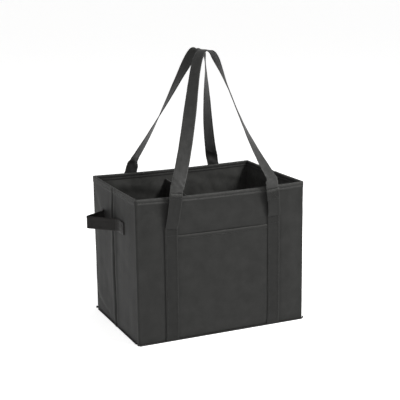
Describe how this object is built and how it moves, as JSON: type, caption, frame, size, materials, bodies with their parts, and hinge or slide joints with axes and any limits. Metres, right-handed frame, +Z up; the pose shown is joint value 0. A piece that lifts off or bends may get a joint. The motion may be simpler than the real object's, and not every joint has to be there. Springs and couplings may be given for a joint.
{
  "type": "foldable tote bag",
  "caption": "Open box-shaped cloth tote with stiffened walls, a divider, two long carrying handles and two side grab handles; its side walls and base crease inward so it folds flat",
  "frame": {"origin": "centre of the bag's footprint on the surface that it stands on", "axes": "+Z up, the front wall with the pocket faces -Y, +X to the right as seen from the front"},
  "size_m": [0.462, 0.2869, 0.5521],
  "materials": {
    "outer_cloth": "spun-bonded cloth, matt",
    "lining_cloth": "spun-bonded cloth, matt",
    "rim_binding": "folded and sewn cloth binding",
    "carry_strap": "folded and sewn cloth strap",
    "grab_strap": "folded and sewn cloth strap",
    "piping": "rolled and sewn hem",
    "board": "grey-brown fibre board"
  },
  "bodies": {
    "back": {"back_outer": "outer_cloth", "back_board": "board", "back_lining": "lining_cloth", "back_rim": "rim_binding", "back_hem_strip": "lining_cloth", "back_piping": "piping", "back_strap_left": "carry_strap", "back_strap_right": "carry_strap", "divider": "lining_cloth"},
    "left_rear": {"left_rear_outer": "outer_cloth", "left_rear_board": "board", "left_rear_lining": "lining_cloth", "left_rear_rim": "rim_binding", "left_grab_rear": "grab_strap"},
    "left_front": {"left_front_outer": "outer_cloth", "left_front_board": "board", "left_front_lining": "lining_cloth", "left_front_rim": "rim_binding", "left_grab_front": "grab_strap"},
    "front": {"front_outer": "outer_cloth", "front_board": "board", "front_lining": "lining_cloth", "front_rim": "rim_binding", "front_hem_strip": "lining_cloth", "front_piping": "piping", "front_strap_left": "carry_strap", "front_strap_right": "carry_strap", "front_pocket": "outer_cloth"},
    "right_rear": {"right_rear_outer": "outer_cloth", "right_rear_board": "board", "right_rear_lining": "lining_cloth", "right_rear_rim": "rim_binding", "right_grab_rear": "grab_strap"},
    "right_front": {"right_front_outer": "outer_cloth", "right_front_board": "board", "right_front_lining": "lining_cloth", "right_front_rim": "rim_binding", "right_grab_front": "grab_strap"},
    "base_rear": {"base_rear_cloth": "outer_cloth", "base_rear_board": "board", "base_rear_lining": "lining_cloth", "base_rear_piping": "piping", "left_rear_gusset": "outer_cloth", "right_rear_gusset": "outer_cloth"},
    "base_front": {"base_front_cloth": "outer_cloth", "base_front_board": "board", "base_front_lining": "lining_cloth", "base_front_piping": "piping", "left_front_gusset": "outer_cloth", "right_front_gusset": "outer_cloth"},
    "front_riser": {"front_riser_left": "carry_strap", "front_riser_right": "carry_strap"},
    "back_riser": {"back_riser_left": "carry_strap", "back_riser_right": "carry_strap"},
    "front_loop": {"front_handle": "carry_strap"},
    "back_loop": {"back_handle": "carry_strap"}
  },
  "joints": [
    {"name": "fold", "type": "hinge", "parent": "back", "child": "left_rear", "pos_m": [-0.176, 0.121, 0], "axis": [0, 0, 1], "range_deg": [0, 80], "deforming": ["divider", "left_grab_rear"]},
    {"name": "left_crease", "type": "hinge", "parent": "left_rear", "child": "left_front", "pos_m": [-0.18, 0, 0], "axis": [0, 0, 1], "range_deg": [-160, 0], "deforming": ["left_grab_front"]},
    {"name": "front_left_corner", "type": "hinge", "parent": "left_front", "child": "front", "pos_m": [-0.176, -0.121, 0], "axis": [0, 0, 1], "range_deg": [0, 80]},
    {"name": "back_right_corner", "type": "hinge", "parent": "back", "child": "right_rear", "pos_m": [0.176, 0.121, 0], "axis": [0, 0, 1], "range_deg": [-80, 0], "deforming": ["right_grab_rear"]},
    {"name": "right_crease", "type": "hinge", "parent": "right_rear", "child": "right_front", "pos_m": [0.18, 0, 0], "axis": [0, 0, 1], "range_deg": [0, 160], "deforming": ["right_grab_front"]},
    {"name": "base_back_edge", "type": "hinge", "parent": "back", "child": "base_rear", "pos_m": [0, 0.115, 0.004], "axis": [-1, 0, 0], "range_deg": [0, 82.5], "deforming": ["left_rear_gusset", "right_rear_gusset"]},
    {"name": "base_middle", "type": "hinge", "parent": "base_rear", "child": "base_front", "pos_m": [0, 0, 0], "axis": [-1, 0, 0], "range_deg": [-165, 0], "deforming": ["left_front_gusset", "right_front_gusset"]},
    {"name": "front_riser_lean", "type": "hinge", "parent": "front", "child": "front_riser", "pos_m": [0, -0.1275, 0.2305], "axis": [1, 0, 0], "range_deg": [0, 17.1]},
    {"name": "back_riser_lean", "type": "hinge", "parent": "back", "child": "back_riser", "pos_m": [0, 0.1275, 0.2305], "axis": [-1, 0, 0], "range_deg": [0, 17.1]},
    {"name": "front_handle_drop", "type": "hinge", "parent": "front_riser", "child": "front_loop", "pos_m": [0, -0.1435, 0.3045], "axis": [1, 0, 0], "range_deg": [0, 190]},
    {"name": "back_handle_drop", "type": "hinge", "parent": "back_riser", "child": "back_loop", "pos_m": [0, 0.1435, 0.3045], "axis": [-1, 0, 0], "range_deg": [0, 190]}
  ],
  "couplings": [
    {"joint": "left_crease", "follows": "fold", "ratio": -2},
    {"joint": "front_left_corner", "follows": "fold", "ratio": 1},
    {"joint": "back_right_corner", "follows": "fold", "ratio": -1},
    {"joint": "right_crease", "follows": "fold", "ratio": 2},
    {"joint": "base_back_edge", "follows": "fold", "ratio": 1.031},
    {"joint": "base_middle", "follows": "fold", "ratio": -2.062},
    {"joint": "front_riser_lean", "follows": "fold", "ratio": 0.2125},
    {"joint": "back_riser_lean", "follows": "fold", "ratio": 0.2125}
  ]
}
